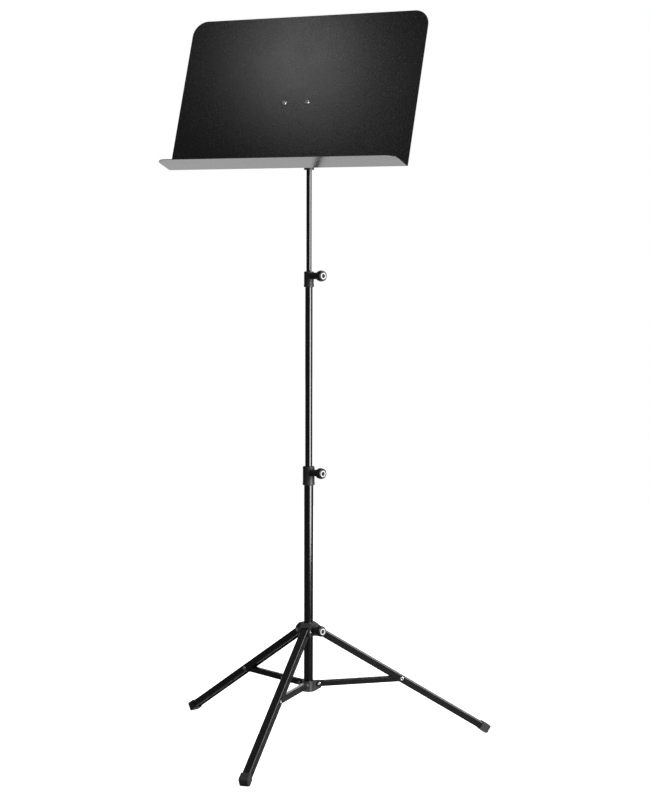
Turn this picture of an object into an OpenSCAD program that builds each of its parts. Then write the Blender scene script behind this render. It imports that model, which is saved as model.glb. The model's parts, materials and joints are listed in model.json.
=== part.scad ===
// Music stand: a one-piece sheet desk on a rod, two telescopic tubes and a folding tripod.
// Millimetres, +Z up. The origin is on the floor, on the axis of the tubes.
// Leg 3 points to -Y, legs 1 and 2 to the right and left of +Y.

/* [Desk] */
// Width of the desk
desk_w = 500; // [380:10:600]
// Height of the desk, measured along the leaning sheet
desk_h = 305; // [240:5:360]
// Depth of the ledge that is bent out of the sheet's lower edge
ledge_d = 58; // [45:1:80]
// Thickness of the sheet
sheet_t = 1.2; // [0.8:0.1:1.6]
// Radius of the two top corners
desk_corner_r = 30; // [10:1:60]
// Radius of the two free corners of the ledge
ledge_corner_r = 20; // [5:1:30]
// Outer radius of the bend between desk and ledge
bend_r = 3; // [2:0.5:5]
// How far the desk leans back from upright, in degrees
desk_lean = 18.4; // [10:0.1:30]
// Turn of the desk about the pole, in degrees
desk_yaw = -9; // [-60:1:60]
// Height of the bend above the floor
desk_bottom_z = 1098.5; // [1090:0.5:1110]
// Distance of the bend in front of the pole's axis
desk_forward = 95; // [85:1:100]

/* [Tilt joint] */
// Height of the bracket's screws on the sheet
bracket_up = 130; // [120:1:140]
// Spacing of the two bracket screws
bracket_screw_gap = 48; // [44:1:56]
// Width of the bracket's plate
bracket_w = 72; // [68:1:90]
// Height of the bracket's plate
bracket_h = 56; // [40:1:64]
// Thickness of the bracket's plate and ears
bracket_t = 2.5; // [2:0.5:3]
// Radius of the socket's head around the tilt bolt
tilt_head_r = 13; // [12:0.5:15]
// Width of the socket's head along the tilt bolt
tilt_head_w = 22; // [20:1:26]
// Diameter of the tilt bolt
tilt_bolt_d = 8; // [6:1:10]
// Thickness of each friction washer
washer_t = 1.4; // [1:0.1:2]

/* [Pole] */
// Outer diameter of the base tube
base_tube_d = 18; // [18:0.1:18.2]
// Outer diameter of the middle tube
middle_tube_d = 14; // [13.9:0.1:14]
// Outer diameter of the top rod
rod_d = 10; // [9.9:0.1:10]
// Wall of the base tube
base_wall = 1.25; // [1.2:0.05:1.25]
// Wall of the middle tube and of the top rod
thin_wall = 1.2; // [1.1:0.05:1.2]
// Height of the base tube's top end
base_tube_top = 515; // [511:1:517]
// Height of the middle tube's lower end, inside the base tube
middle_tube_bottom = 454; // [450:1:465]
// Height of the middle tube's top end
middle_tube_top = 893; // [889:1:895]
// Height of the top rod's lower end, inside the middle tube
rod_bottom = 764; // [750:1:780]
// Height of the top rod's upper end, inside the socket
rod_top = 1185; // [1180:1:1188]
// Height of the socket's lower end
socket_bottom = 1099.4; // [1095:0.1:1110]
// Outer diameter of the socket
socket_d = 19; // [17:0.5:20]

/* [Clamps and knobs] */
// Outer diameter of the lower clamp
lower_clamp_d = 23.6; // [22:0.2:25]
// Height of the lower clamp's lower end
lower_clamp_z = 498; // [495:1:501]
// Length of the lower clamp
lower_clamp_h = 36; // [34:1:38]
// Outer diameter of the upper clamp
upper_clamp_d = 19.4; // [18.6:0.2:21]
// Height of the upper clamp's lower end
upper_clamp_z = 877; // [875:1:879]
// Length of the upper clamp
upper_clamp_h = 30; // [29:1:32]
// Direction that the three clamp knobs point to, in degrees
knob_yaw = -30; // [-32:1:-28]
// Diameter of the clamp knobs
knob_d = 21; // [19:0.5:24]
// Length of the clamp knobs
knob_len = 13.6; // [12:0.2:16]
// Distance of a knob's back from the pole's axis
knob_r = 27.6; // [27.4:0.1:29]
// Diameter of the clamp screws
screw_d = 6; // [5:0.5:6]

/* [Tripod] */
// Distance from a leg's hinge to the end of its foot cap
leg_len = 401.5; // [380:0.5:415]
// Slope of an opened leg below the horizontal, in degrees
leg_slope = 31.6; // [31:0.1:32.5]
// Distance from a leg's hinge to the strut's hinge on it
strut_joint_at = 192.5; // [188:0.5:196]
// Distance of the hinges on both hubs from the pole's axis
hinge_r = 20; // [20:0.1:20.4]
// Height of the strut hinges on the lower hub
strut_hinge_z = 112; // [110:1:115]
// Width of a leg's channel
leg_w = 16; // [16:0.1:16.2]
// Depth of a leg's channel
leg_h = 14.5; // [13.5:0.5:14.5]
// Wall of a leg's channel
leg_wall = 1.3; // [1.2:0.05:1.3]
// Width and depth of a strut's channel
strut_w = 11; // [10.8:0.1:11]
// Wall of a strut's channel
strut_wall = 1.2; // [1:0.1:1.2]
// Depth below the floor to which an uncut foot cap would reach, which makes its flat
foot_cut = 2; // [1.5:0.1:3]
// Diameter of the rivets
rivet_d = 4; // [3.5:0.5:4]

/* [Hidden] */
$fn = 64;

leg_yaws = [30, 150, 270];

// Diametral clearances: a fixed fit, a pin or shaft that turns or slides, a bush in a tube
fixed_fit = 0.04;
running_fit = 0.12;
bush_fit = 0.15;
side_gap = 0.3;
overrun = 1;

// Opened tripod
foot_cap_w = 19;
foot_cap_h = 17.5;
foot_cap_len = 19;
foot_cap_end = 2.5;
foot_chamfer = 2.2;
leg_hinge_z = leg_len * sin(leg_slope) + foot_cap_h / 2 * cos(leg_slope) - foot_cut;
strut_outer_r = hinge_r + strut_joint_at * cos(leg_slope);
strut_outer_z = leg_hinge_z - strut_joint_at * sin(leg_slope);
strut_run = strut_outer_r - hinge_r;
strut_rise = strut_outer_z - strut_hinge_z;
strut_len = sqrt(strut_run * strut_run + strut_rise * strut_rise);
strut_slope = atan2(strut_rise, strut_run);
leg_bend_r = 2.6;
strut_bend_r = 2.2;
web_setback = 9;

// Hubs
hub_body_r = 12.3;
hub_bottom = leg_hinge_z - 9.5;
hub_top = leg_hinge_z + 16;
hub_knob_z = leg_hinge_z + 3;
fork_gap = leg_w + 2 * side_gap;
fork_w = fork_gap + 4.4;
fork_roof = 8.5;
fork_nose_r = 7;
lower_hub_r = 12;
lower_hub_bottom = strut_hinge_z - 14.5;
lower_hub_top = strut_hinge_z + 6;
lower_hub_floor = 3;
base_tube_bottom = lower_hub_bottom + lower_hub_floor;
lug_w = strut_w - 2 * strut_wall - 2 * side_gap;
lug_end_r = hinge_r + 4.5;
pin_d = 3;
pin_z = lower_hub_bottom + 5;
rivet_bore = 2.2;
rivet_head_t = 1;
leg_rivet_head_d = 8;
strut_rivet_head_d = 6.4;
strut_rivet_head_t = 0.8;

// Clamps
boss_d = 13;
hub_boss_d = 12;
lower_knob_z = lower_clamp_z + 24.7;
upper_knob_z = upper_clamp_z + 21.7;
pad_t = 2;
pad_gap = 0.3;
screw_in_knob = 8;
cap_d = 14.4;
cap_t = 1.4;
cap_seat = 1;
knob_rim_r = 3.5;
flutes = 10;

// Head of the stand
tilt_z = desk_bottom_z + (bracket_up - desk_forward * sin(desk_lean)) / cos(desk_lean);
tilt_back = desk_forward * cos(desk_lean) - (tilt_z - desk_bottom_z) * sin(desk_lean);
ear_in = tilt_head_w / 2 + washer_t + 0.1;
ear_out = ear_in + bracket_t;
tilt_knob_d = 26;
tilt_knob_len = 16;
socket_knob_d = 16;
socket_knob_len = 11;
socket_knob_r = 17.4;
socket_boss_d = 11;
socket_screw_d = 5;
socket_screw_z = socket_bottom + 22;
desk_screw_d = 5;
desk_screw_head_d = 9;
desk_screw_head_t = 2.2;
desk_nut_t = 4;
desk_nut_across = 8;
tilt_bolt_head_t = 5;
tilt_bolt_head_across = 13;

// Colours
black_coat = [0.07, 0.07, 0.075];
black_plastic = [0.12, 0.12, 0.125];
rubber = [0.1, 0.1, 0.105];
zinc = [0.75, 0.74, 0.7];
pale_plastic = [0.85, 0.85, 0.84];
brass = [0.72, 0.6, 0.34];

// ---- Shared shapes ----

// Points of an arc about centre, from one angle to another
function arc(centre, r, from, to, steps = 4) =
    [for (i = [0:steps]) let (a = from + (to - from) * i / steps) centre + r * [cos(a), sin(a)]];

// Flat outline that stands on the X axis, with its two top corners rounded
module rounded_top(w, h, r) {
    translate([-w / 2, 0]) square([w, h - r]);
    translate([-w / 2 + r, 0]) square([w - 2 * r, h]);
    for (side = [-1, 1]) translate([side * (w / 2 - r), h - r]) circle(r = r);
}

// Section of a bent channel, open downwards and centred on its axis
module channel_section(w, h, wall, r) {
    difference() {
        translate([0, -h / 2]) rounded_top(w, h, r);
        translate([0, -h / 2 - overrun]) rounded_top(w - 2 * wall, h - wall + overrun, r - wall);
    }
}

// Channel along +X, drilled at x = 0 and rounded about that hole
module channel_bar(length, w, h, wall, r) {
    intersection() {
        translate([-h / 2, 0, 0]) rotate([90, 0, 90])
            linear_extrude(length + h / 2) channel_section(w, h, wall, r);
        rotate([90, 0, 0]) linear_extrude(w + overrun, center = true) {
            circle(d = h);
            translate([0, -h / 2]) square([length + overrun, h]);
        }
    }
}

// Hole or pin across the channel, along Y
module across(d, length) {
    rotate([90, 0, 0]) cylinder(d = d, h = length, center = true);
}

// Tubular rivet along Y with a rolled head at each end
module rivet(grip, head_d, head_t) {
    half = grip / 2;
    bore = rivet_bore / 2;
    flare = [
        [bore, half + head_t / 2], [bore + head_t / 2, half + head_t],
        [head_d / 2 - head_t / 2, half + head_t], [head_d / 2, half + head_t / 2],
        [head_d / 2, half], [rivet_d / 2, half]
    ];
    count = len(flare);
    back = [for (i = [count - 1:-1:0]) [flare[i][0], -flare[i][1]]];
    rotate([90, 0, 0]) rotate_extrude() polygon(concat(flare, back));
}

// Places its children on a leg's vertical plane: +X outwards from the pole's axis
module on_leg(index) {
    rotate([0, 0, leg_yaws[index]]) children();
}

// Places its children along a leg, from its hinge outwards and down
module along_leg(index) {
    on_leg(index) translate([hinge_r, 0, leg_hinge_z]) rotate([0, leg_slope, 0]) children();
}

// Places its children so that +Z points outwards from the pole's axis
module facing_out(yaw, distance, z) {
    rotate([0, 0, yaw]) translate([distance, 0, z]) rotate([0, 90, 0]) children();
}

// Tube with its lower end at z
module tube(d, wall, z, top) {
    translate([0, 0, z]) difference() {
        cylinder(d = d, h = top - z);
        translate([0, 0, -overrun]) cylinder(d = d - 2 * wall, h = top - z + 2 * overrun);
    }
}

// Plastic cup that closes the lower end of a tube and guides it in the next tube
module end_bush(tube_outer, guide_inner, end_z, grip, floor_t) {
    difference() {
        translate([0, 0, end_z - floor_t]) cylinder(d = guide_inner - bush_fit, h = grip + floor_t);
        translate([0, 0, end_z]) cylinder(d = tube_outer + fixed_fit, h = grip + overrun);
    }
}

// Fluted round knob on +Z with a seat for a cap and a blind hole for its screw
module knob(d, length, bore, bore_depth) {
    rim = min(knob_rim_r, length / 4);
    neck = 0.55 * d / 2;
    difference() {
        rotate_extrude() polygon(concat(
            [[0, 0], [neck, 0], [neck, rim]],
            arc([d / 2 - rim, 2 * rim], rim, -90, 0),
            arc([d / 2 - rim, length - rim], rim, 0, 90),
            [[0, length]]
        ));
        for (i = [0:flutes - 1]) rotate([0, 0, i * 360 / flutes])
            translate([d / 2 + 1.3, 0, -overrun]) cylinder(r = 2.1, h = length + 2 * overrun, $fn = 24);
        translate([0, 0, length - cap_seat]) cylinder(d = cap_d * d / knob_d, h = overrun + cap_seat);
        translate([0, 0, -overrun]) cylinder(d = bore, h = bore_depth + overrun);
    }
}

// Plain round cap in the front of a knob
module knob_cap(d, length) {
    cap = cap_d * d / knob_d - fixed_fit;
    translate([0, 0, length - cap_seat]) difference() {
        rotate_extrude() polygon([
            [0, 0], [cap / 2, 0], [cap / 2, cap_t - 0.4], [cap / 2 - 0.4, cap_t], [0, cap_t]
        ]);
        translate([0, 0, cap_t - 0.3]) cylinder(d = cap * 0.45, h = overrun);
    }
}

// Sleeve around a tube's top end that also guides the next tube, with a boss for a knob's screw
module clamp(d, z, h, lower_d, lower_top, upper_d, knob_z) {
    difference() {
        union() {
            translate([0, 0, z]) rotate_extrude() polygon([
                [0, 0], [d / 2 - 1, 0], [d / 2, 1], [d / 2, 4], [d / 2 - 0.4, 6],
                [d / 2 - 0.4, h - 1], [d / 2 - 1.4, h], [0, h]
            ]);
            facing_out(knob_yaw, 0, knob_z) cylinder(d = boss_d, h = knob_r - 0.4);
        }
        translate([0, 0, z - overrun]) cylinder(d = lower_d + fixed_fit, h = lower_top - z + overrun);
        translate([0, 0, z]) cylinder(d = upper_d + running_fit, h = h + overrun);
        facing_out(knob_yaw, 0, knob_z) cylinder(d = screw_d + running_fit, h = knob_r + overrun);
    }
}

// Pressure pad between a clamp screw and the tube of diameter d
module pad(yaw, z, d, pad_d) {
    facing_out(yaw, d / 2 + pad_gap, z) cylinder(d = pad_d, h = pad_t);
}

// Screw from its pad into its knob
module clamp_screw(yaw, z, d, screw, head_r) {
    start = d / 2 + pad_gap + pad_t + 0.1;
    facing_out(yaw, start, z) cylinder(d = screw, h = head_r + screw_in_knob - start);
}

// ---- Base ----

module base_tube() {
    color(black_coat) tube(base_tube_d, base_wall, base_tube_bottom, base_tube_top);
}

module lower_hub() {
    lug = [
        [0, lower_hub_bottom], [lower_hub_r, lower_hub_bottom], [lug_end_r, strut_hinge_z - 8],
        [lug_end_r, lower_hub_top - 1.5], [lug_end_r - 1.5, lower_hub_top], [0, lower_hub_top]
    ];
    color(black_plastic) difference() {
        union() {
            translate([0, 0, lower_hub_bottom])
                cylinder(r = lower_hub_r, h = lower_hub_top - lower_hub_bottom);
            for (i = [0:2]) on_leg(i) rotate([90, 0, 0])
                linear_extrude(lug_w, center = true) polygon(lug);
        }
        translate([0, 0, base_tube_bottom]) cylinder(d = base_tube_d + fixed_fit, h = 100);
        translate([0, 0, lower_hub_bottom - overrun]) cylinder(d = base_tube_d / 2, h = 10);
        translate([0, 0, pin_z]) rotate([0, 90, 0]) cylinder(d = pin_d, h = 100, center = true);
        for (i = [0:2]) on_leg(i) translate([hinge_r, 0, strut_hinge_z])
            across(rivet_d + fixed_fit, 100);
    }
}

// Cross pin that holds the lower hub on the tube
module lower_hub_pin() {
    for (side = [0, 180]) rotate([0, 0, side])
        color(zinc) translate([base_tube_d / 2 + 0.1, 0, pin_z]) rotate([0, 90, 0])
            cylinder(d = pin_d, h = lower_hub_r - base_tube_d / 2);
}

module strut_inner_rivets() {
    for (i = [0:2]) color(zinc) on_leg(i) translate([hinge_r, 0, strut_hinge_z])
        rivet(strut_w, strut_rivet_head_d, strut_rivet_head_t);
}

module lower_clamp() {
    color(black_plastic) clamp(
        lower_clamp_d, lower_clamp_z, lower_clamp_h, base_tube_d, base_tube_top,
        middle_tube_d, lower_knob_z
    );
}

module lower_clamp_pad() {
    color(brass) pad(knob_yaw, lower_knob_z, middle_tube_d, screw_d - 0.5);
}

module lower_clamp_knob() {
    color(black_plastic) facing_out(knob_yaw, knob_r, lower_knob_z)
        knob(knob_d, knob_len, screw_d, screw_in_knob);
}

module lower_clamp_knob_cap() {
    color(pale_plastic) facing_out(knob_yaw, knob_r, lower_knob_z) knob_cap(knob_d, knob_len);
}

module lower_clamp_screw() {
    color(zinc) clamp_screw(knob_yaw, lower_knob_z, middle_tube_d, screw_d, knob_r);
}

// ---- Sliding hub ----

// Three forks around a sleeve: each has a sloping roof and two ears beside its leg
module upper_hub() {
    nose = hinge_r + fork_nose_r;
    roof_r = hinge_r + 0.5;
    fork = [
        [0, hub_bottom], [hinge_r + 2, hub_bottom], [nose - 1, leg_hinge_z - 5],
        [nose, leg_hinge_z], [nose - 1, leg_hinge_z + 5], [roof_r, leg_hinge_z + fork_roof + 3],
        [14, hub_top], [0, hub_top]
    ];
    color(black_plastic) difference() {
        union() {
            translate([0, 0, hub_bottom]) cylinder(r = hub_body_r, h = hub_top - hub_bottom);
            for (i = [0:2]) on_leg(i) difference() {
                rotate([90, 0, 0]) linear_extrude(fork_w, center = true) polygon(fork);
                translate([hub_body_r, -fork_gap / 2, hub_bottom - overrun])
                    cube([50, fork_gap, leg_hinge_z + fork_roof - hub_bottom + overrun]);
                translate([hinge_r, 0, leg_hinge_z]) across(rivet_d + fixed_fit, 100);
            }
            facing_out(knob_yaw, 0, hub_knob_z) cylinder(d = hub_boss_d, h = knob_r - 0.4);
        }
        translate([0, 0, hub_bottom - overrun])
            cylinder(d = base_tube_d + running_fit, h = hub_top - hub_bottom + 2 * overrun);
        facing_out(knob_yaw, 0, hub_knob_z) cylinder(d = screw_d + running_fit, h = knob_r + overrun);
    }
}

module leg_rivets() {
    for (i = [0:2]) color(zinc) on_leg(i) translate([hinge_r, 0, leg_hinge_z])
        rivet(fork_w, leg_rivet_head_d, rivet_head_t);
}

module hub_pad() {
    color(brass) pad(knob_yaw, hub_knob_z, base_tube_d, screw_d - 0.5);
}

module hub_knob() {
    color(black_plastic) facing_out(knob_yaw, knob_r, hub_knob_z)
        knob(knob_d, knob_len, screw_d, screw_in_knob);
}

module hub_knob_cap() {
    color(pale_plastic) facing_out(knob_yaw, knob_r, hub_knob_z) knob_cap(knob_d, knob_len);
}

module hub_screw() {
    color(zinc) clamp_screw(knob_yaw, hub_knob_z, base_tube_d, screw_d, knob_r);
}

// ---- Legs and struts ----

// Channel with its web on top, which is cut back at both ends so that it clears its hinges
module strut(index) {
    color(black_coat) on_leg(index) translate([hinge_r, 0, strut_hinge_z])
        rotate([0, -strut_slope, 0]) difference() {
            intersection() {
                channel_bar(strut_len + strut_w, strut_w, strut_w, strut_wall, strut_bend_r);
                translate([strut_len, 0, 0]) mirror([1, 0, 0])
                    channel_bar(strut_len + strut_w, strut_w, strut_w, strut_wall, strut_bend_r);
            }
            for (x = [-strut_w, strut_len - web_setback])
                translate([x, -strut_w / 2 + strut_wall, 0])
                    cube([strut_w + web_setback, strut_w - 2 * strut_wall, strut_w]);
            for (x = [0, strut_len]) translate([x, 0, 0]) across(rivet_d + running_fit, 100);
        }
}

// Channel that is open towards the pole, with a rounded upper end
module leg(index) {
    color(black_coat) along_leg(index) difference() {
        channel_bar(leg_len - foot_cap_end - 0.1, leg_w, leg_h, leg_wall, leg_bend_r);
        translate([-leg_h, -leg_w / 2 + leg_wall, 0])
            cube([leg_h, leg_w - 2 * leg_wall, leg_h]);
        across(rivet_d + running_fit, 100);
        translate([strut_joint_at, 0, 0]) across(rivet_d + fixed_fit, 100);
    }
}

// Rubber shoe over the end of a leg, with bevelled edges and a flat cut to the floor
module foot_cap(index) {
    start = leg_len - foot_cap_len;
    bevel = foot_chamfer * sqrt(2);
    color(rubber) intersection() {
        along_leg(index) difference() {
            translate([start, -foot_cap_w / 2, -foot_cap_h / 2])
                cube([foot_cap_len, foot_cap_w, foot_cap_h]);
            translate([start - overrun, -(leg_w + fixed_fit) / 2, -(leg_h + fixed_fit) / 2])
                cube([foot_cap_len - foot_cap_end + overrun, leg_w + fixed_fit, leg_h + fixed_fit]);
            translate([leg_len, 0, foot_cap_h / 2]) rotate([0, 45, 0])
                cube([bevel, 2 * foot_cap_w, bevel], center = true);
            for (side = [-1, 1]) {
                translate([leg_len, side * foot_cap_w / 2, 0]) rotate([0, 0, 45])
                    cube([bevel, bevel, 2 * foot_cap_h], center = true);
                translate([leg_len / 2, side * foot_cap_w / 2, foot_cap_h / 2]) rotate([45, 0, 0])
                    cube([2 * leg_len, bevel / 2, bevel / 2], center = true);
            }
        }
        on_leg(index) translate([leg_len / 2, -leg_w, 0]) cube([leg_len, 2 * leg_w, leg_len]);
    }
}

module strut_outer_rivet(index) {
    color(zinc) along_leg(index) translate([strut_joint_at, 0, 0])
        rivet(leg_w, leg_rivet_head_d, rivet_head_t);
}

// ---- Telescopic pole ----

module middle_tube() {
    color(black_coat) tube(middle_tube_d, thin_wall, middle_tube_bottom, middle_tube_top);
}

module middle_tube_bush() {
    color(black_plastic)
        end_bush(middle_tube_d, base_tube_d - 2 * base_wall, middle_tube_bottom, 22, 3);
}

module upper_clamp() {
    color(black_plastic) clamp(
        upper_clamp_d, upper_clamp_z, upper_clamp_h, middle_tube_d, middle_tube_top,
        rod_d, upper_knob_z
    );
}

module upper_clamp_pad() {
    color(brass) pad(knob_yaw, upper_knob_z, rod_d, screw_d - 0.5);
}

module upper_clamp_knob() {
    color(black_plastic) facing_out(knob_yaw, knob_r, upper_knob_z)
        knob(knob_d, knob_len, screw_d, screw_in_knob);
}

module upper_clamp_knob_cap() {
    color(pale_plastic) facing_out(knob_yaw, knob_r, upper_knob_z) knob_cap(knob_d, knob_len);
}

module upper_clamp_screw() {
    color(zinc) clamp_screw(knob_yaw, upper_knob_z, rod_d, screw_d, knob_r);
}

module top_rod() {
    color(black_coat) tube(rod_d, thin_wall, rod_bottom, rod_top);
}

module rod_end_bush() {
    color(black_plastic) end_bush(rod_d, middle_tube_d - 2 * thin_wall, rod_bottom, 20, 3);
}

// ---- Head: socket, tilt joint and desk ----

// Turns its children with the head about the pole, with +Y to the back of the desk
module at_head() {
    rotate([0, 0, desk_yaw]) children();
}

// Places its children on the leaning desk: +X along the bend, +Z up the sheet, +Y behind it
module on_desk() {
    at_head() translate([0, -desk_forward, desk_bottom_z]) rotate([-desk_lean, 0, 0]) children();
}

// Places its children at the tilt axis, so that +Z points along it
module on_tilt_axis(x) {
    at_head() translate([x, 0, tilt_z]) rotate([0, 90, 0]) children();
}

module desk_socket() {
    color(black_plastic) difference() {
        union() {
            at_head() translate([0, 0, socket_bottom]) cylinder(d = socket_d, h = tilt_z - socket_bottom);
            on_tilt_axis(0) cylinder(r = tilt_head_r, h = tilt_head_w, center = true);
            facing_out(desk_yaw + 90, 0, socket_screw_z)
                cylinder(d = socket_boss_d, h = socket_knob_r - 0.4);
        }
        translate([0, 0, socket_bottom - overrun])
            cylinder(d = rod_d + running_fit, h = rod_top - socket_bottom + 2 * overrun);
        on_tilt_axis(0) cylinder(d = tilt_bolt_d + running_fit, h = 100, center = true);
        facing_out(desk_yaw + 90, 0, socket_screw_z)
            cylinder(d = socket_screw_d + running_fit, h = socket_knob_r + overrun);
    }
}

module socket_pad() {
    color(brass) pad(desk_yaw + 90, socket_screw_z, rod_d, socket_screw_d - 0.5);
}

module socket_knob() {
    color(black_plastic) facing_out(desk_yaw + 90, socket_knob_r, socket_screw_z)
        knob(socket_knob_d, socket_knob_len, socket_screw_d, screw_in_knob);
}

module socket_screw() {
    color(zinc) clamp_screw(desk_yaw + 90, socket_screw_z, rod_d, socket_screw_d, socket_knob_r);
}

module tilt_washers() {
    for (side = [-1, 1]) color(pale_plastic)
        on_tilt_axis(side * (tilt_head_w / 2 + 0.05 + washer_t / 2)) difference() {
            cylinder(r = tilt_head_r - 1, h = washer_t, center = true);
            cylinder(d = tilt_bolt_d + fixed_fit, h = 10, center = true);
        }
}

// Bolt with its hexagon head at the left ear and its thread in the knob at the right ear
module tilt_bolt() {
    head_r = tilt_bolt_head_across / 2 / cos(30);
    color(zinc) {
        on_tilt_axis(-ear_out - tilt_bolt_head_t) cylinder(r = head_r, h = tilt_bolt_head_t, $fn = 6);
        on_tilt_axis(-ear_out - 0.5) cylinder(d = tilt_bolt_d, h = 2 * ear_out + 0.5 + tilt_knob_len - 4);
    }
}

module tilt_knob() {
    color(black_plastic) on_tilt_axis(ear_out + 0.4)
        knob(tilt_knob_d, tilt_knob_len, tilt_bolt_d + running_fit, tilt_knob_len - 3.6);
}

module tilt_knob_cap() {
    color(pale_plastic) on_tilt_axis(ear_out + 0.4) knob_cap(tilt_knob_d, tilt_knob_len);
}

// Plate behind the desk with two welded ears that reach back to the tilt bolt
module tilt_bracket() {
    color(black_coat) on_desk() difference() {
        union() {
            translate([0, 0, bracket_up]) rotate([-90, 0, 0]) linear_extrude(bracket_t)
                square([bracket_w, bracket_h], center = true);
            for (side = [-1, 1]) translate([side * (ear_in + bracket_t / 2), 0, 0])
                rotate([90, 0, 90]) linear_extrude(bracket_t, center = true) {
                    polygon([
                        [0, bracket_up - bracket_h / 2 + 3], [tilt_back, bracket_up - tilt_head_r],
                        [tilt_back, bracket_up + tilt_head_r], [0, bracket_up + bracket_h / 2 - 3]
                    ]);
                    translate([tilt_back, bracket_up]) circle(r = tilt_head_r);
                }
        }
        translate([0, tilt_back, bracket_up]) rotate([0, 90, 0])
            cylinder(d = tilt_bolt_d + fixed_fit, h = 100, center = true);
        desk_screw_holes();
    }
}

module desk_screw_holes() {
    for (side = [-1, 1]) translate([side * bracket_screw_gap / 2, 0, bracket_up])
        across(desk_screw_d + fixed_fit, 20);
}

// One sheet: the back with rounded top corners, the bend and the ledge
module desk_sheet() {
    color(black_coat) on_desk() difference() {
        union() {
            translate([0, 0, bend_r]) rotate([90, 0, 0]) linear_extrude(sheet_t)
                rounded_top(desk_w, desk_h - bend_r, desk_corner_r);
            translate([0, -bend_r, 0]) mirror([0, 1, 0]) linear_extrude(sheet_t)
                rounded_top(desk_w, ledge_d - bend_r, ledge_corner_r);
            translate([0, -bend_r, bend_r]) rotate([90, 0, 90])
                linear_extrude(desk_w, center = true) intersection() {
                    difference() {
                        circle(r = bend_r);
                        circle(r = bend_r - sheet_t);
                    }
                    translate([0, -bend_r]) square(bend_r);
                }
        }
        desk_screw_holes();
    }
}

// Two pan-head screws with their heads on the front of the desk
module desk_screws() {
    shank = sheet_t + bracket_t + desk_nut_t + 1;
    head_r = desk_screw_head_d / 2;
    for (side = [-1, 1]) color(zinc) on_desk()
        translate([side * bracket_screw_gap / 2, -sheet_t, bracket_up]) rotate([-90, 0, 0]) {
            cylinder(d = desk_screw_d, h = shank);
            translate([0, 0, -desk_screw_head_t]) rotate_extrude() polygon([
                [0, 0], [head_r * 0.6, 0], [head_r * 0.88, desk_screw_head_t * 0.3],
                [head_r, desk_screw_head_t * 0.7], [head_r, desk_screw_head_t], [0, desk_screw_head_t]
            ]);
        }
}

module desk_nuts() {
    for (side = [-1, 1]) color(zinc) on_desk()
        translate([side * bracket_screw_gap / 2, bracket_t, bracket_up]) rotate([-90, 0, 0])
            difference() {
                cylinder(d = desk_nut_across / cos(30), h = desk_nut_t, $fn = 6);
                translate([0, 0, -overrun]) cylinder(d = desk_screw_d + fixed_fit, h = 10);
            }
}

base_tube();
lower_hub();
lower_hub_pin();
strut_inner_rivets();
lower_clamp();
lower_clamp_pad();
lower_clamp_knob();
lower_clamp_knob_cap();
lower_clamp_screw();
upper_hub();
leg_rivets();
hub_pad();
hub_knob();
hub_knob_cap();
hub_screw();
strut(0);  // strut_1
strut(1);  // strut_2
strut(2);  // strut_3
leg(0);  // leg_1
leg(1);  // leg_2
leg(2);  // leg_3
foot_cap(0);  // foot_cap_1
foot_cap(1);  // foot_cap_2
foot_cap(2);  // foot_cap_3
strut_outer_rivet(0);  // strut_outer_rivet_1
strut_outer_rivet(1);  // strut_outer_rivet_2
strut_outer_rivet(2);  // strut_outer_rivet_3
middle_tube();
middle_tube_bush();
upper_clamp();
upper_clamp_pad();
upper_clamp_knob();
upper_clamp_knob_cap();
upper_clamp_screw();
top_rod();
rod_end_bush();
desk_socket();
socket_pad();
socket_knob();
socket_screw();
tilt_washers();
tilt_bolt();
tilt_knob();
tilt_knob_cap();
tilt_bracket();
desk_sheet();
desk_screws();
desk_nuts();
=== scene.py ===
"""Music stand: materials, refined pieces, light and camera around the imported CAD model."""

import json
import math

import bmesh
import bpy
from mathutils import Matrix, Vector


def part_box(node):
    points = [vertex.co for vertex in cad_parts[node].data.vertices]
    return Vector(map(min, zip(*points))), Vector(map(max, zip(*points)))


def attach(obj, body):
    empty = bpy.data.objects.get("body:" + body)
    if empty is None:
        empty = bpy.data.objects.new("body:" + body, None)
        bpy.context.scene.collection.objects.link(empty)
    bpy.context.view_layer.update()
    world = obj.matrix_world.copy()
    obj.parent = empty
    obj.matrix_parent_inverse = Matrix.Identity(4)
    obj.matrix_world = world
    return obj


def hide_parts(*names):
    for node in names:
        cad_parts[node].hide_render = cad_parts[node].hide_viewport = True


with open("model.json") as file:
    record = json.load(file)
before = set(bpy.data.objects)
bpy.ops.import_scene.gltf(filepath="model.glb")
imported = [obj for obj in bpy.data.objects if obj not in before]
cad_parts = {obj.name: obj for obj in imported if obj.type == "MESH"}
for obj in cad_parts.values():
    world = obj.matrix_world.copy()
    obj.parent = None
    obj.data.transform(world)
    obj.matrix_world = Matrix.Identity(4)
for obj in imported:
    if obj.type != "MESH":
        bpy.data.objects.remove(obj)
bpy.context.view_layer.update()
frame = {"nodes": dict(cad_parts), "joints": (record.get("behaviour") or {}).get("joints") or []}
NODES = frame["nodes"]
JOINTS = {j["name"]: j for j in frame["joints"]}
scene = bpy.context.scene
MM = 0.001

# ---------------------------------------------------------------- camera

# Angles in degrees, distances in metres; the bearing and range are from the pole's axis
HEADING = math.radians(18.016)
PITCH = math.radians(4.204)
BEARING = math.radians(18.468)
RANGE = 3.9351
FOCAL_LENGTH = 93.5
EYE_HEIGHT = 0.9565
ROLL = math.radians(0.106)

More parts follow.
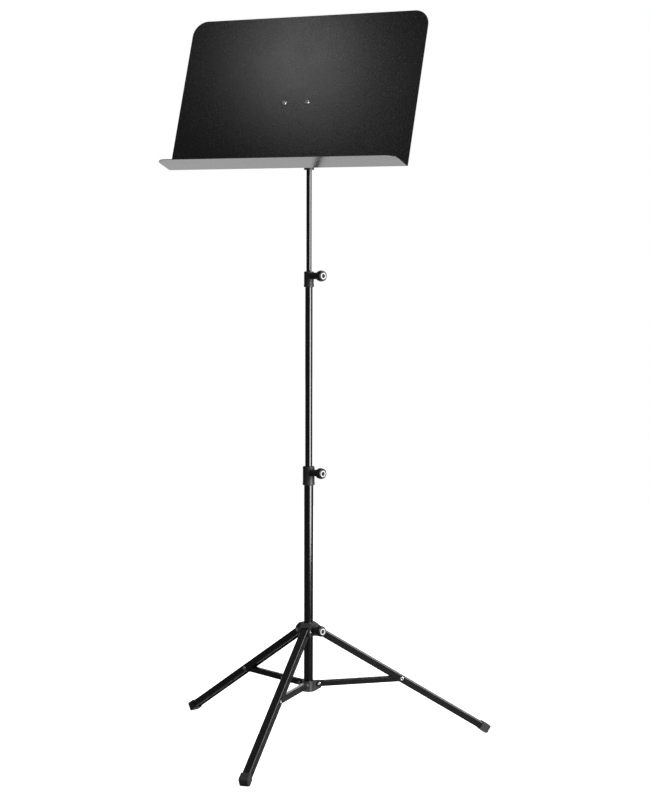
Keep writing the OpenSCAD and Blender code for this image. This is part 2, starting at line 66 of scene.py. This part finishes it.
right = Vector((math.cos(HEADING), math.sin(HEADING), 0))
forward = Vector(
    (-math.sin(HEADING) * math.cos(PITCH), math.cos(HEADING) * math.cos(PITCH), -math.sin(PITCH))
)
up = right.cross(forward)
lens_right = right * math.cos(ROLL) + up * math.sin(ROLL)
lens_up = up * math.cos(ROLL) - right * math.sin(ROLL)
camera_data = bpy.data.cameras.new("camera")
camera_data.sensor_width = 36
camera_data.lens = FOCAL_LENGTH
camera_data.clip_start = 0.05
camera_data.clip_end = 100
camera = bpy.data.objects.new("camera", camera_data)
camera.matrix_world = Matrix(
    (
        (lens_right.x, lens_up.x, -forward.x, RANGE * math.sin(BEARING)),
        (lens_right.y, lens_up.y, -forward.y, -RANGE * math.cos(BEARING)),
        (lens_right.z, lens_up.z, -forward.z, EYE_HEIGHT),
        (0, 0, 0, 1),
    )
)
scene.collection.objects.link(camera)
scene.camera = camera

# ---------------------------------------------------------------- materials


class Shade:
    """A Principled material and the few nodes that this script uses around it."""

    def __init__(self, name, roughness, metallic=0.0, **sockets):
        self.material = bpy.data.materials.new(name)
        self.material.use_nodes = True
        self.tree = self.material.node_tree
        self.shader = self.tree.nodes["Principled BSDF"]
        self.set(self.shader, {"Roughness": roughness, "Metallic": metallic, **sockets})
        self.place = self.add("ShaderNodeTexCoord").outputs["Object"]

    def add(self, kind, inputs=None, **settings):
        node = self.tree.nodes.new(kind)
        for key, value in settings.items():
            setattr(node, key, value)
        self.set(node, inputs or {})
        return node

    def set(self, node, inputs):
        for key, value in inputs.items():
            socket = node.inputs[key]
            if isinstance(value, bpy.types.NodeSocket):
                self.tree.links.new(value, socket)
            else:
                socket.default_value = value

    def noise(self, size_mm, detail=2.0, roughness=0.5, stretch=None):
        """Noise whose features are about size_mm wide; stretch scales the three axes."""
        place = self.place
        if stretch:
            mapping = self.add("ShaderNodeMapping", {"Vector": place, "Scale": stretch})
            place = mapping.outputs["Vector"]
        return self.add(
            "ShaderNodeTexNoise",
            {"Vector": place, "Scale": 1000 / size_mm, "Detail": detail, "Roughness": roughness},
        ).outputs["Fac"]

    def ramp(self, value, low, high, out_low, out_high):
        """Maps value from low..high to out_low..out_high, clamped."""
        return self.add(
            "ShaderNodeMapRange",
            {"Value": value, "From Min": low, "From Max": high, "To Min": out_low, "To Max": out_high},
        ).outputs["Result"]

    def mix(self, factor, a, b):
        node = self.add("ShaderNodeMix", data_type="RGBA")
        self.set(node, {0: factor, 6: a, 7: b})
        return node.outputs[2]

    def multiply(self, a, b):
        return self.add("ShaderNodeMath", {0: a, 1: b}, operation="MULTIPLY").outputs[0]

    def edges(self, radius_mm):
        """1 along sharp outer edges and in corners, 0 on flat and gently curved faces."""
        bevel = self.add("ShaderNodeBevel", {"Radius": radius_mm * MM}, samples=4)
        normal = self.add("ShaderNodeNewGeometry").outputs["Normal"]
        dot = self.add(
            "ShaderNodeVectorMath", {0: bevel.outputs["Normal"], 1: normal}, operation="DOT_PRODUCT"
        )
        return self.ramp(dot.outputs["Value"], 0.97, 0.80, 0.0, 1.0)

    def bump(self, height, depth_mm, strength=1.0, under=None):
        inputs = {"Height": height, "Distance": depth_mm * MM, "Strength": strength}
        if under:
            inputs["Normal"] = under
        return self.add("ShaderNodeBump", inputs).outputs["Normal"]

    def finish(self, colour=None, roughness=None, normal=None):
        links = {"Base Color": colour, "Roughness": roughness, "Normal": normal}
        self.set(self.shader, {k: v for k, v in links.items() if v is not None})
        return self.material


def grey(value, warm=0.0):
    return (value * (1 + warm), value, value * (1 - warm), 1)


def coated(name, dark, light, rough, grain_mm, depth_mm, edge, sparkle=0.0, **sockets):
    """Coat on steel: even colour with slight drift, fine skin, brighter worn edges."""
    s = Shade(name, rough, **sockets)
    drift = s.ramp(s.noise(60, 3), 0.3, 0.7, 0.0, 1.0)
    skin = s.noise(grain_mm, 3, 0.6)
    colour = s.mix(drift, dark, light)
    if sparkle:
        speck = s.ramp(s.noise(grain_mm * 0.7, 1, 0.5), 0.56, 0.72, 0.0, sparkle)
        colour = s.mix(speck, colour, grey(0.25))
    wear = s.multiply(s.edges(0.5), s.ramp(s.noise(5, 4), 0.42, 0.62, 0.15, 1.0))
    colour = s.mix(s.multiply(wear, edge), colour, grey(0.32))
    smudge = s.noise(45, 3, 0.5)
    roughness = s.ramp(s.multiply(smudge, skin), 0.05, 0.5, rough * 0.92, rough * 1.1)
    normal = s.bump(skin, depth_mm)
    return s.finish(colour, roughness, s.bump(s.noise(9, 2), 0.004, 0.6, normal))


def moulded(name, dark, light, rough, grain_mm=0.45, depth_mm=0.02, edge=0.25, **sockets):
    """Moulded plastic or rubber: fine texture, faint flow marks, rubbed edges."""
    s = Shade(name, rough, **sockets)
    flow = s.ramp(s.noise(12, 4, 0.6, (1, 1, 0.3)), 0.35, 0.68, 0.0, 1.0)
    skin = s.noise(grain_mm, 2, 0.6)
    rubbed = s.multiply(s.edges(0.6), s.ramp(s.noise(2.5, 3), 0.38, 0.6, 0.2, 1.0))
    colour = s.mix(s.multiply(rubbed, edge), s.mix(flow, dark, light), grey(min(1, light[0] * 3 + 0.05)))
    roughness = s.ramp(s.noise(4, 3), 0.3, 0.7, rough * 0.88, rough * 1.15)
    return s.finish(colour, roughness, s.bump(skin, depth_mm))


def metal(name, dark, light, rough, brush=(1, 1, 12), depth_mm=0.004):
    """Plated metal: fine tool marks and a slight stain."""
    s = Shade(name, rough, 1.0)
    marks = s.noise(2.2, 3, 0.6, brush)
    stain = s.ramp(s.noise(3, 4), 0.36, 0.66, 0.0, 1.0)
    roughness = s.ramp(marks, 0.3, 0.7, rough * 0.75, rough * 1.35)
    return s.finish(s.mix(stain, dark, light), roughness, s.bump(marks, depth_mm))


SLOTS = {
    "desk_coat": coated(
        "desk_coat", grey(0.006), grey(0.009), 0.18, 3.0, 0.09, 0.4, 0.14, **{"IOR": 1.5}
    ),
    "tube_coat": coated("tube_coat", grey(0.002), grey(0.003), 0.13, 0.8, 0.0012, 0.08, **{"IOR": 1.65}),
    "leg_coat": coated("leg_coat", grey(0.005), grey(0.008), 0.20, 0.8, 0.006, 0.3),
    "black_plastic": moulded("black_plastic", grey(0.020), grey(0.032), 0.42),
    "knob_plastic": moulded("knob_plastic", grey(0.010), grey(0.016), 0.30, 0.4, 0.010, 0.3),
    "cap_plastic": moulded("cap_plastic", grey(0.62), grey(0.72), 0.35, 0.4, 0.006, 0.0),
    "washer_plastic": moulded("washer_plastic", grey(0.5, 0.02), grey(0.6, 0.02), 0.4, 0.4, 0.01, 0),
    "foot_rubber": moulded("foot_rubber", grey(0.014), grey(0.024), 0.58, 0.6, 0.04, 0.35),
    "zinc_steel": metal("zinc_steel", grey(0.74, 0.01), grey(0.88, 0.01), 0.22),
    "rivet_metal": metal("rivet_metal", grey(0.55, 0.06), grey(0.72, 0.05), 0.24),
    "brass_pad": metal("brass_pad", (0.55, 0.40, 0.18, 1), (0.70, 0.53, 0.26, 1), 0.3),
}

SLOT_OF = {
    "desk_coat": ["desk_sheet"],
    "tube_coat": ["base_tube", "middle_tube", "top_rod", "tilt_bracket"],
    "leg_coat": ["strut_1", "strut_2", "strut_3", "leg_1", "leg_2", "leg_3"],
    "black_plastic": [
        "lower_hub", "lower_clamp", "upper_hub", "upper_clamp", "middle_tube_bush",
        "rod_end_bush", "desk_socket",
    ],
    "knob_plastic": [
        "lower_clamp_knob", "hub_knob", "upper_clamp_knob", "socket_knob", "tilt_knob",
    ],
    "cap_plastic": [
        "lower_clamp_knob_cap", "hub_knob_cap", "upper_clamp_knob_cap", "tilt_knob_cap",
    ],
    "washer_plastic": ["tilt_washers"],
    "foot_rubber": ["foot_cap_1", "foot_cap_2", "foot_cap_3"],
    "zinc_steel": [
        "lower_hub_pin", "lower_clamp_screw", "hub_screw", "upper_clamp_screw", "socket_screw",
        "tilt_bolt", "desk_screws", "desk_nuts",
    ],
    "rivet_metal": [
        "strut_inner_rivets", "leg_rivets",
        "strut_outer_rivet_1", "strut_outer_rivet_2", "strut_outer_rivet_3",
    ],
    "brass_pad": ["lower_clamp_pad", "hub_pad", "upper_clamp_pad", "socket_pad"],
}

# Width in millimetres of the rounding that each carried-over node's edges get
ROUNDING = {
    "desk_sheet": 0.3, "tilt_bracket": 0.5, "base_tube": 0.25, "middle_tube": 0.25, "top_rod": 0.25,
    "strut": 0.3, "leg": 0.35, "lower_hub": 0.8, "upper_hub": 0.9, "lower_clamp": 0.5,
    "upper_clamp": 0.5, "foot_cap": 0.7, "desk_socket": 0.9, "tilt_washers": 0.2, "tilt_bolt": 0.4,
}


def rounding(name):
    for start, width in ROUNDING.items():
        if name.startswith(start):
            return width
    return 0.12


def dress(name, slot):
    """Gives a carried-over CAD node its material and small real edge radii."""
    node = NODES[name]
    node.data.materials.clear()
    node.data.materials.append(SLOTS[slot])
    weld = node.modifiers.new("weld", "WELD")
    weld.merge_threshold = 2e-6
    bevel = node.modifiers.new("edges", "BEVEL")
    bevel.width = rounding(name) * MM
    bevel.segments = 3
    bevel.limit_method = "ANGLE"
    bevel.angle_limit = math.radians(32)
    bevel.use_clamp_overlap = True
    bevel.harden_normals = True
    normals = node.modifiers.new("normals", "WEIGHTED_NORMAL")
    normals.keep_sharp = False
    normals.weight = 50
    for face in node.data.polygons:
        face.use_smooth = True


for slot_name, members in SLOT_OF.items():
    for member in members:
        dress(member, slot_name)

# ---------------------------------------------------------------- shapes


def reach_of(node, axis, origin=(0, 0, 0)):
    """Lowest and highest distance of a CAD node's points along axis, from origin."""
    places = [(v.co - Vector(origin)).dot(axis) for v in NODES[node].data.vertices]
    return min(places), max(places)


def facing(axis, origin):
    """Matrix that turns +Z to axis and moves the origin to origin."""
    z = Vector(axis).normalized()
    x = Vector((0, 0, 1)).cross(z)
    x = x.normalized() if x.length > 0.1 else Vector((1, 0, 0))
    y = z.cross(x)
    return Matrix.Translation(origin) @ Matrix((x, y, z)).transposed().to_4x4()


def softened(points, steps=4):
    """Outline from (x, y, radius) points, with each corner rounded by its radius."""
    out = []
    for i, (x, y, radius) in enumerate(points):
        here = Vector((x, y))
        if radius <= 0 or i in (0, len(points) - 1):
            out.append(here)
            continue
        before = Vector(points[i - 1][:2]) - here
        after = Vector(points[i + 1][:2]) - here
        cut = min(radius, before.length * 0.49, after.length * 0.49)
        start, end = here + before.normalized() * cut, here + after.normalized() * cut
        for k in range(steps + 1):
            t = k / steps
            out.append(start * (1 - t) ** 2 + here * 2 * t * (1 - t) + end * t**2)
    return out


def turned(profile, steps=96, shape=None):
    """bmesh of a closed body about +Z. profile runs from axis to axis as (radius, height)."""
    bm = bmesh.new()
    rows = []
    for radius, height in profile:
        if radius < 1e-7:
            rows.append([bm.verts.new((0, 0, height))])
            continue
        row = []
        for k in range(steps):
            a = 2 * math.pi * k / steps
            r = shape(a, radius, height) if shape else radius
            row.append(bm.verts.new((r * math.cos(a), r * math.sin(a), height)))
        rows.append(row)
    for low, high in zip(rows, rows[1:]):
        for k in range(steps):
            n = (k + 1) % steps
            if len(low) == 1:
                bm.faces.new((low[0], high[n], high[k]))
            elif len(high) == 1:
                bm.faces.new((low[k], low[n], high[0]))
            else:
                bm.faces.new((low[k], low[n], high[n], high[k]))
    bmesh.ops.recalc_face_normals(bm, faces=bm.faces)
    return bm


def piece(name, bm, place, body, slot, *nodes):
    """Object from bm, placed in the row frame, that rides on body and stands for nodes."""
    mesh = bpy.data.meshes.new(name)
    bm.to_mesh(mesh)
    bm.free()
    for face in mesh.polygons:
        face.use_smooth = True
    mesh.materials.append(SLOTS[slot])
    obj = bpy.data.objects.new(name, mesh)
    scene.collection.objects.link(obj)
    obj.matrix_world = place
    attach(obj, body)
    if nodes:
        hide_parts(*nodes)
    return obj


# ---------------------------------------------------------------- knobs


def knob(name, body, axis, origin, node, cap_node=None, flutes=10):
    """Fluted grip with a rounded rim, and a dark cap that holds one plain pale ring."""
    low, high = reach_of(node, axis, origin)
    length = high - low
    sideways = axis.cross(Vector((0, 0, 1))).normalized()
    radius = reach_of(node, sideways, origin)[1]
    if cap_node:
        cap_low, cap_high = reach_of(cap_node, axis, origin)
        cap_radius = reach_of(cap_node, sideways, origin)[1]
        seat = cap_low - low
    else:
        cap_radius, seat = radius * 0.686, length - 1 * MM
    rim = 0.25 * length
    neck = 0.74 * radius
    foot = 0.5 * rim
    profile = softened(
        [
            (0, 0, 0), (neck, 0, 0.4 * MM), (neck, foot, 0.5 * MM),
            (radius * 0.92, foot * 1.2, foot * 0.6),
            (radius, rim * 1.4, rim * 0.6), (radius, length - rim * 1.15, rim * 0.8),
            (radius * 0.90, length - rim * 0.25, rim * 0.6), (cap_radius + 0.9 * MM, length, 0.5 * MM),
            (cap_radius + 0.12 * MM, length, 0.2 * MM), (cap_radius + 0.12 * MM, seat, 0.1 * MM),
            (0, seat, 0),
        ],
        5,
    )
    depth = 0.085 * radius
    pitch = 2 * math.pi / flutes

    def fluted(angle, r, z):
        off = ((angle / pitch + 0.5) % 1 - 0.5) * pitch * radius
        half = 0.3 * pitch * radius
        groove = 0.5 + 0.5 * math.cos(math.pi * off / half) if abs(off) < half else 0
        along = min(max((z - foot * 1.3) / (rim * 0.6), 0), 1)
        along *= min(max((length - rim * 0.25 - z) / (rim * 1.0), 0), 1)
        if r < cap_radius + 0.5 * MM:
            return r
        return r - depth * groove * along

    place = facing(axis, origin + axis * low)
    piece(name, turned(profile, 160, fluted), place, body, "knob_plastic", node)
    if not cap_node:
        return
    height = cap_high - cap_low
    floor_z = height - 0.3 * MM
    disc = softened(
        [
            (0, 0, 0), (cap_radius, 0, 0.1 * MM), (cap_radius, height, 0.5 * MM),
            (cap_radius * 0.89, height, 0.1 * MM), (cap_radius * 0.88, floor_z, 0.1 * MM),
            (0, floor_z, 0),
        ],
        4,
    )
    outer, inner = cap_radius * 0.86, cap_radius * 0.56
    band = softened(
        [
            (inner, floor_z - 0.1 * MM, 0), (outer, floor_z - 0.1 * MM, 0.02 * MM),
            (outer, height - 0.04 * MM, 0.12 * MM), (inner, height - 0.04 * MM, 0.12 * MM),
            (inner, floor_z - 0.1 * MM, 0),
        ],
        4,
    )
    place = facing(axis, origin + axis * cap_low)
    piece(name + "_face", turned(disc, 96), place, body, "knob_plastic", cap_node)
    ring = turned(band, 96)
    bmesh.ops.remove_doubles(ring, verts=ring.verts, dist=1e-8)
    piece(name + "_ring", ring, place, body, "cap_plastic")


def knob_on_joint(name, joint, body, node, cap_node=None, flutes=10):
    """Knob on the axis of its own turning joint."""
    axis = Vector(JOINTS[joint]["axis"]).normalized()
    origin = Vector(JOINTS[joint]["pos_m"])
    if sum(reach_of(node, axis, origin)) < 0:
        axis = -axis
    knob(name, body, axis, origin, node, cap_node, flutes)


# Each knob sits on the axis of its own turning joint
for which in ("lower", "upper"):
    node = which + "_clamp_knob"
    knob_on_joint(
        which + "_clamp_grip", which + "_knob_turn", which + "_knob_set", node, node + "_cap"
    )
knob_on_joint("hub_grip", "hub_knob_turn", "hub_knob_set", "hub_knob", "hub_knob_cap")
knob_on_joint("tilt_grip", "tilt_knob_turn", "tilt_knob_set", "tilt_knob", "tilt_knob_cap", 12)
knob_on_joint("socket_grip", "socket_knob_turn", "socket_knob_set", "socket_knob", None, 8)

# ---------------------------------------------------------------- desk screws

SIDE = -Vector(JOINTS["desk_tilt"]["axis"]).normalized()
largest = max(NODES["desk_sheet"].data.polygons, key=lambda face: face.area)
FRONT = largest.normal if largest.normal.dot(forward) < 0 else -largest.normal
FRONT = FRONT.normalized()


def cross_cutter(size, depth, top):
    """bmesh of a tapered cross that cuts the recess of a screw's head."""
    bm = bmesh.new()
    for turn in (0, math.pi / 2):
        spin = Matrix.Rotation(turn, 4, "Z")
        corners = []
        for z, long, wide in (
            (top - depth, size * 0.55, size * 0.10),
            (top + 0.5 * MM, size * 1.05, size * 0.17),
        ):
            for x, y in ((-1, -1), (1, -1), (1, 1), (-1, 1)):
                corners.append(bm.verts.new(spin @ Vector((x * long / 2, y * wide / 2 * 1.6, z))))
        for quad in ((3, 2, 1, 0), (4, 5, 6, 7), (0, 1, 5, 4), (1, 2, 6, 5), (2, 3, 7, 6), (3, 0, 4, 7)):
            bm.faces.new([corners[k] for k in quad])
    return bm


def cut(bm, cutter):
    """bm with the cutter's volume taken away."""
    objects = []
    for part in (bm, cutter):
        mesh = bpy.data.meshes.new("scratch")
        part.to_mesh(mesh)
        part.free()
        objects.append(bpy.data.objects.new("scratch", mesh))
        scene.collection.objects.link(objects[-1])
    body, tool = objects
    boolean = body.modifiers.new("cut", "BOOLEAN")
    boolean.object = tool
    boolean.solver = "EXACT"
    boolean.use_self = True
    shaped = body.evaluated_get(bpy.context.evaluated_depsgraph_get())
    out = bmesh.new()
    out.from_mesh(shaped.data)
    for obj in objects:
        bpy.data.objects.remove(obj)
    return out


def desk_screw(name, side):
    """Pan-head screw with a cross recess and a threaded end."""
    points = [v.co for v in NODES["desk_screws"].data.vertices if v.co.dot(SIDE) * side > 0]
    middle = sum((Vector(map(op, zip(*points))) for op in (min, max)), Vector()) / 2
    low = min((p - middle).dot(FRONT) for p in points)
    high = max((p - middle).dot(FRONT) for p in points)
    across = [(p - middle).dot(SIDE) for p in points]
    centre = middle + SIDE * (min(across) + max(across)) / 2
    head = (max(across) - min(across)) / 2
    length = high - low
    shank = min(
        (p - centre - FRONT * (p - centre).dot(FRONT)).length
        for p in points
        if (p - middle).dot(FRONT) < low + 0.1 * MM
    )
    shank = max(shank, 2.4 * MM)
    profile = [(0, 0, 0), (shank * 0.7, 0, 0.1 * MM), (shank, 0.6 * MM, 0.1 * MM)]
    z = 0.8 * MM
    while z < 4.6 * MM:
        profile += [(shank * 0.84, z + 0.3 * MM, 0.1 * MM), (shank, z + 0.7 * MM, 0.1 * MM)]
        z += 0.8 * MM
    top = length
    profile += [
        (shank, top - 2.2 * MM, 0.05 * MM), (head, top - 2.2 * MM, 0.15 * MM),
        (head, top - 1.4 * MM, 0.5 * MM), (head * 0.82, top - 0.5 * MM, 0.8 * MM),
        (head * 0.5, top - 0.05 * MM, 0.8 * MM), (0, top, 0),
    ]
    bm = cut(turned(softened(profile, 4), 64), cross_cutter(4.4 * MM, 1.5 * MM, top))
    place = facing(FRONT, centre + FRONT * low)
    piece(name, bm, place, "desk_head", "zinc_steel", "desk_screws")


desk_screw("desk_screw_left", -1)
desk_screw("desk_screw_right", 1)

# ---------------------------------------------------------------- stage


def area_light(name, at, towards, width, height, radiance):
    data = bpy.data.lights.new(name, "AREA")
    data.shape = "RECTANGLE"
    data.size = width
    data.size_y = height
    data.energy = radiance * math.pi * width * height
    light = bpy.data.objects.new(name, data)
    light.location = at
    light.visible_camera = False
    light.rotation_mode = "QUATERNION"
    light.rotation_quaternion = (Vector(towards) - Vector(at)).to_track_quat("-Z", "Y")
    scene.collection.objects.link(light)
    return light


AHEAD = Vector((forward.x, forward.y, 0)).normalized()
TO_CAMERA = -AHEAD


def around(turn, distance, height):
    """Point at a bearing from the stand: 0 is towards the camera, 90 is to its right."""
    a = math.radians(turn)
    place = TO_CAMERA * math.cos(a) * distance + right * math.sin(a) * distance
    return Vector((place.x, place.y, height))


# A pale self-lit table that runs away behind the stand
floor_mesh = bpy.data.meshes.new("floor")
bm = bmesh.new()
for x, y in ((-1.3, -0.8), (1.3, -0.8), (2.2, 3.6), (-2.2, 3.6)):
    bm.verts.new(right * x + AHEAD * y)
bm.faces.new(bm.verts)
bmesh.ops.subdivide_edges(bm, edges=bm.edges, cuts=12, use_grid_fill=True)
bm.to_mesh(floor_mesh)
bm.free()
floor = bpy.data.objects.new("floor", floor_mesh)
scene.collection.objects.link(floor)
floor.visible_diffuse = False
floor.visible_glossy = False
paper = Shade("paper", 0.9, **{"Specular IOR Level": 0.1, "Emission Strength": 1.0})
paper.set(paper.shader, {"Emission Color": (1, 1, 1, 1)})
floor_mesh.materials.append(
    paper.finish(paper.mix(paper.ramp(paper.noise(400, 3), 0.3, 0.7, 0, 1), grey(0.86), grey(0.90)))
)


def mirrored(point, normal, distance):
    """Where a light has to be for the camera to see it reflected at point."""
    view = (camera.matrix_world.translation - point).normalized()
    return point + (normal * 2 * normal.dot(view) - view) * distance


desk_lo, desk_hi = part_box("desk_sheet")
desk_up = SIDE.cross(-FRONT).normalized()
desk_middle = (desk_lo + desk_hi) / 2
glow_at = desk_middle + desk_up * 0.075 - SIDE * 0.005
ledge_at = desk_middle - desk_up * 0.14
# The key draws the tubes' highlights; glow and bounce mirror in the desk and ledge at rest
area_light("key_right", around(50, 3.0, 1.0), (0, 0, 0.75), 1.9, 2.2, 12.0)
area_light("desk_glow", mirrored(glow_at, FRONT, 3.0), glow_at, 0.24, 0.34, 4.6)
area_light("bounce", mirrored(ledge_at, -desk_up, 2.2), ledge_at, 2.4, 1.6, 1.6)
area_light("top", around(100, 1.6, 3.2), (0, 0, 0.3), 1.4, 1.2, 9.0)

# White behind the stand, and only a faint light on it
ROOM_LIGHT = 0.10
world = bpy.data.worlds.new("studio")
world.use_nodes = True
scene.world = world
tree = world.node_tree
background = tree.nodes["Background"]
background.inputs["Color"].default_value = (1, 1, 1, 1)
rays = tree.nodes.new("ShaderNodeLightPath")
reach = tree.nodes.new("ShaderNodeMapRange")
reach.inputs["To Min"].default_value = ROOM_LIGHT
reach.inputs["To Max"].default_value = 1.0
tree.links.new(rays.outputs["Is Camera Ray"], reach.inputs["Value"])
tree.links.new(reach.outputs["Result"], background.inputs["Strength"])
scene.view_settings.view_transform = "Standard"
